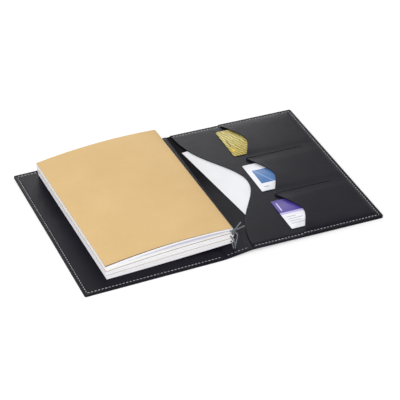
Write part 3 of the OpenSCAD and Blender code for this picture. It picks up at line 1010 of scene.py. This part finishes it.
LEAVES = 12
GAP_SHARE = 0.03
LOOSE = (0.22, 0.36)
OVERHANG = 0.75


def leaf_edges():
    return BOOK_H / 2 - rng.uniform(0.05, 0.3, 2)


def level(depth):
    """The same depth all along a profile."""
    return lambda u: depth


def parted(u):
    """Half the gap between the two halves of the top booklet."""
    t = u / BOOK_W
    return (FOLD_GAP * t + 27 / 4 * PARTING * t * t * (1 - t) + 0.1) / 2


def packed(k, share, spare):
    """Depth of a place in the block of leaves; spare(u) is what the block leaves free at its middle."""
    return lambda u: PAGE_IN[k] + share * (half_t(k, u) - PAGE_IN[k] - spare(u))


def loose(share):
    """Depth of a place in the gap between the halves of the top booklet."""
    return lambda u: half_t(TOP, u) - parted(u) * (1 - share)


def leaf_span(k, i, spare):
    """Outer and inner depth of the i-th leaf."""
    return packed(k, i / LEAVES, spare), packed(k, (i + 1 - GAP_SHARE) / LEAVES, spare)


def closed_block(name, k):
    """Leaves folded round each other in one block."""
    leaves = []
    for i in range(LEAVES):
        start = rng.uniform(0.05, 0.4)
        near, far = leaf_edges()
        outer, inner = (wrapped(k, inset, start) for inset in leaf_span(k, i, level(0.12)))
        leaves.append(strip(f"leaf_{i}", k, outer, inner, -near, far, PAGES))
    return joined(name, leaves)


def open_block(name, side):
    """Leaves of one half of the top booklet; a loose one stands in the gap between the halves."""
    spans = [leaf_span(TOP, i, parted) for i in range(LEAVES)]
    spans.append([loose(share) for share in LOOSE])
    leaves = []
    for i, span in enumerate(spans):
        start = rng.uniform(0.05, 0.5)
        near, far = leaf_edges()
        outer, inner = (half_wrapped(side, inset, start) for inset in span)
        back = OVERHANG * np.clip(-outer[:, 0] / BOOK_W, 0, 1) ** 1.3 * (side > 0)
        leaves.append(strip(f"leaf_{i}", TOP, outer, inner, back - near, far, PAGES))
    return joined(name, leaves)


NEAR_ROWS = [0, 0.004, 0.01, 0.018, 0.03, 0.045, 0.065, 0.09, 0.12, 0.16]
COVER_ROWS = np.concatenate([NEAR_ROWS, np.linspace(0.2, 1, 12)])
CURL, CURL_RUN = 0.95, 5.0


def kraft_wrap(name, k, low_trim, high_trim, curl=None):
    """A cover folded round its leaves; its near edge is trimmed a little under and over them."""
    at = (FLAT_POINTS, WRAP_POINTS - FLAT_POINTS)
    trim = np.interp(np.arange(WRAP_POINTS), at, (low_trim, high_trim))
    runs = (wrapped(k, level(depth), high_trim) for depth in (0.0, KRAFT_T[k]))
    return strip(name, k, *runs, trim - BOOK_H / 2, BOOK_H / 2, KRAFT, COVER_ROWS, curl)


def corner_curl(x, y):
    """The top cover is thicker along its near edge, most at the corner; with the dark colour of its cut edge
    this rim is painted shade for the gap where the cover stands off its leaves.
    """
    over = np.arange(WRAP_POINTS) >= WRAP_POINTS - FLAT_POINTS
    return CURL * np.exp(-(y + BOOK_H / 2) / CURL_RUN) * np.clip(-x / BOOK_W, 0, 1) * over


for k, (word, low_trim, high_trim) in enumerate((("bottom", 0.5, 0.6), ("middle", 0.5, 0.45))):
    cover = kraft_wrap(word + "_kraft_wrap", k, low_trim, high_trim)
    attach(cover, "booklets")
    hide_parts(word + "_kraft_cover")
    block = closed_block(word + "_leaves", k)
    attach(block, "booklets")
    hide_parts(word + "_pages")

top_cover = kraft_wrap("top_kraft_wrap", TOP, 0.05, 0.0, corner_curl)
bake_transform(top_cover)
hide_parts("top_front_cover", "top_back_cover")
for word, side, body in (("front", 1, "top_booklet_front"), ("back", -1, "booklets")):
    block = open_block(f"top_{word}_leaves", side)
    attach(block, body)
    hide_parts(f"top_{word}_pages")


GUTTER_R, GUTTER_X, GUTTER_L, GUTTER_T, GUTTER_IN = 0.44, 0.90, 1.95, 0.08, 0.3


def gutter_leaf():
    """The fold of the innermost leaf, which joins the two halves when the top booklet is opened."""
    a = np.linspace(-math.pi / 2, math.pi / 2, 13)
    legs = np.linspace(GUTTER_L, 0.1, 6)
    runs = []
    for r in (GUTTER_R, GUTTER_R - GUTTER_T):
        x = np.concatenate([-legs, r * np.cos(a), -legs[::-1]]) - GUTTER_X
        z = np.concatenate([np.full(len(legs), -r), r * np.sin(a), np.full(len(legs), r)])
        runs.append(np.column_stack([x, mid_z(TOP, BOOK_W) + z]))
    return strip("top_gutter_leaf", TOP, *runs, GUTTER_IN - BOOK_H / 2, BOOK_H / 2 - GUTTER_IN, PAGES)


gutter = gutter_leaf()
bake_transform(gutter)


# Cords in the folds and staples keep their CAD shape
for word in ("bottom", "middle", "top"):
    for part, material, finish in (("elastic", CORD, "elastic"), ("staples", WIRE, "staple")):
        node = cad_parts[f"{word}_{part}"]
        node.data.materials.clear()
        node.data.materials.append(material)


# Cord ends between the folds and the holes in the spine
STRAND_SPREAD = HOLE_D / 2 - CORD_D / 2 - 0.1
STRAND_ANGLES = [math.radians(a) for a in (210, 330, 90)]
STRAND_STEPS, STRAND_CLEAR, LEAD, TAIL = 24, 0.05, CORD_D / 4, 13.0
KNOT_START, KNOT_PITCH, KNOT_R, KNOT_TURNS = 1.6 * CORD_D, 1.35 * CORD_D, CORD_D + 0.1, 1.5
KNOT_L, KNOT_SWING = KNOT_START + KNOT_TURNS * KNOT_PITCH + CORD_D, math.radians(40)
KNOT_LAYERS = 2.75


def cord_z(k):
    return mid_z(k, BOOK_W - CORD_IN)


def cord_end(k, side, beyond):
    return stacked(k, (-CORD_IN, side * (BOOK_H / 2 + beyond), cord_z(k)))


def aimed(k, way):
    return stacked(k, way) - stacked(k, (0, 0, 0))


def strand(k, side, straight, swing):
    """From the hole up to the end of fold k; the last piece of a tied one is straight and swings aside."""
    a = STRAND_ANGLES[k]
    x = SPINE_W / 2 + STRAND_SPREAD * math.cos(a)
    y = HOLE_Y[side] + side * STRAND_SPREAD * math.sin(a)
    foot, seat = (on_spine((x, y, LEATHER_T / 2 + up)) for up in (STRAND_CLEAR, STRAND_CLEAR + LEAD))
    out = aimed(k, (math.sin(swing), side * math.cos(swing), 0))
    corner, end = cord_end(k, side, LEAD), cord_end(k, side, STRAND_CLEAR)
    turn = corner + straight * out
    rise = np.array([0, 0, (turn[2] - seat[2]) / 2 + CORD_D / 2])
    reach = 0.45 * abs(seat[1] - turn[1]) + 1.4 * CORD_D
    path = bezier(seat, seat + rise, turn + reach * out, turn, STRAND_STEPS)
    if straight:
        lead_in = bezier(turn, turn - 0.4 * straight * out, corner + 0.2 * straight * out, corner, 8)
        path = np.concatenate([path, lead_in[1:]])
    return np.concatenate([[foot], path, [end]])


def strands(word, side):
    for k, which in enumerate(("bottom", "middle", "top")):
        tied = side < 0 and k == TOP
        path = strand(k, side, KNOT_L if tied else 0, KNOT_SWING if tied else 0)
        obj = tube(f"{word}_cord_{which}", path, CORD_D / 2, CORD)
        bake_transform(obj)
    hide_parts(f"{word}_elastic_ends")


strands("near", -1)
strands("far", 1)


def wound(turn):
    """A point of the knot: turns out along the strand, then back over themselves."""
    back = max(turn - KNOT_TURNS, 0)
    a, along = math.pi / 2 + 2 * math.pi * turn, KNOT_START + KNOT_PITCH * (turn - 2 * back)
    r = KNOT_R + 0.85 * CORD_D * smooth(3 * back)
    c, s = math.cos(KNOT_SWING), math.sin(KNOT_SWING)
    way = (r * math.cos(a) * c + along * s, r * math.cos(a) * s - along * c, r * math.sin(a))
    return cord_end(TOP, -1, LEAD) + aimed(TOP, way)


knot = tube("cord_knot", [wound(t) for t in np.linspace(0, KNOT_LAYERS, 80)], CORD_D / 2, CORD)
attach(knot, "booklets")
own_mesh(knot)
for i, (turn, aim) in enumerate(((0.0, (10.5, 0.4, 8.0)), (KNOT_LAYERS, (11.0, 0.4, 1.7)))):
    start, aim = wound(turn), np.array(aim) / np.linalg.norm(aim)
    tip = start + TAIL * aim
    path = bezier(start, start + [TAIL / 3, 0, 0], start + (tip - start) * 0.6, tip, 16)
    tail = tube(f"cord_tail_{i}", path, CORD_D / 2, CORD)
    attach(tail, "booklets")
    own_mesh(tail)


# Floor, light and camera
def background_rays(tree):
    """One on rays that show the background: the camera's own, and those off gloss and through glass."""
    path = tree.nodes.new("ShaderNodeLightPath")
    total = path.outputs["Is Camera Ray"]
    for kind in ("Is Glossy Ray", "Is Transmission Ray"):
        either = tree.nodes.new("ShaderNodeMath")
        either.operation = "MAXIMUM"
        tree.links.new(total, either.inputs[0])
        tree.links.new(path.outputs[kind], either.inputs[1])
        total = either.outputs[0]
    return total


def floor_material():
    """Pale floor that keeps shadows near the object and turns white further off."""
    m = Nodes("pale_floor", 0.9, 0.0)
    m.colour(m.mix(m.noise(3, 2), (0.64, 0.64, 0.64), (0.66, 0.66, 0.66)))
    glow = m.add("ShaderNodeEmission")
    glow.inputs["Color"].default_value = (1, 1, 1, 1)
    away = m.add("ShaderNodeVectorMath", operation="LENGTH")
    m.link(m.coord, away.inputs[0])
    strength = m.range(away.outputs["Value"], 0.35, 0.95, 0.42, 1.0)
    m.link(m.math("MULTIPLY", background_rays(m.tree), strength), glow.inputs["Strength"])
    both = m.add("ShaderNodeAddShader")
    m.link(m.bsdf.outputs[0], both.inputs[0])
    m.link(glow.outputs[0], both.inputs[1])
    m.link(both.outputs[0], m.tree.nodes["Material Output"].inputs["Surface"])
    return m.mat


FLOOR_REACH, FLOOR_Z = 4000, -0.3
square = [(x * FLOOR_REACH, y * FLOOR_REACH, FLOOR_Z) for x, y in ((-1, -1), (1, -1), (1, 1), (-1, 1))]
floor = mesh_object("floor", square, [(0, 1, 2, 3)], floor_material())

SKY_LIGHT, SKY_SEEN = 0.36, 1.0
world = bpy.data.worlds.new("studio")
bpy.context.scene.world = world
world.use_nodes = True
tree = world.node_tree
sky = tree.nodes["Background"]
pick = tree.nodes.new("ShaderNodeMapRange")
tree.links.new(background_rays(tree), pick.inputs[0])
pick.inputs[3].default_value, pick.inputs[4].default_value = SKY_LIGHT, SKY_SEEN
tree.links.new(pick.outputs[0], sky.inputs["Strength"])
sky.inputs["Color"].default_value = (1, 1, 1, 1)


def soft_light(name, place, aim, width, height, power):
    data = bpy.data.lights.new(name, "AREA")
    data.shape, data.size, data.size_y, data.energy = "RECTANGLE", width, height, power
    obj = bpy.data.objects.new(name, data)
    obj.location = place
    obj.visible_camera = False
    obj.rotation_mode = "QUATERNION"
    obj.rotation_quaternion = (Vector(aim) - Vector(place)).to_track_quat("-Z", "Y")
    bpy.context.scene.collection.objects.link(obj)


soft_light("back_softbox", (0.15, 0.70, 0.25), (0.0, 0.05, 0.0), 0.55, 0.2, 2.4)
soft_light("key_softbox", (-0.85, -1.15, 1.22), (0, 0, 0), 1.3, 1.3, 34.5)

SENSOR = 36.0


def place_camera(yaw, elevation, roll, distance, target, focal):
    """Looks at target; yaw turns about Z, roll about the view line. focal is in picture widths."""
    yaw, elevation, roll = (math.radians(v) for v in (yaw, elevation, roll))
    flat = math.cos(elevation)
    back = Vector((math.sin(yaw) * flat, -math.cos(yaw) * flat, math.sin(elevation)))
    side = Vector((0, 0, 1)).cross(back).normalized()
    over = back.cross(side)
    right = side * math.cos(roll) + over * math.sin(roll)
    up = over * math.cos(roll) - side * math.sin(roll)
    camera = bpy.data.objects.new("camera", bpy.data.cameras.new("camera"))
    camera.data.sensor_width, camera.data.lens = SENSOR, SENSOR * focal
    camera.data.clip_start, camera.data.clip_end = 0.05, 50.0
    spot = Vector(target) + back * distance
    camera.matrix_world = Matrix((right, up, back)).transposed().to_4x4()
    camera.matrix_world.translation = spot
    bpy.context.scene.collection.objects.link(camera)
    bpy.context.scene.camera = camera


place_camera(
    yaw=-23.343,
    elevation=35.753,
    roll=-0.07,
    distance=1.8642,
    target=(0.00304, -0.00632, 0.0),
    focal=1666.4 / 400,
)
bpy.context.scene.view_settings.view_transform = "Standard"
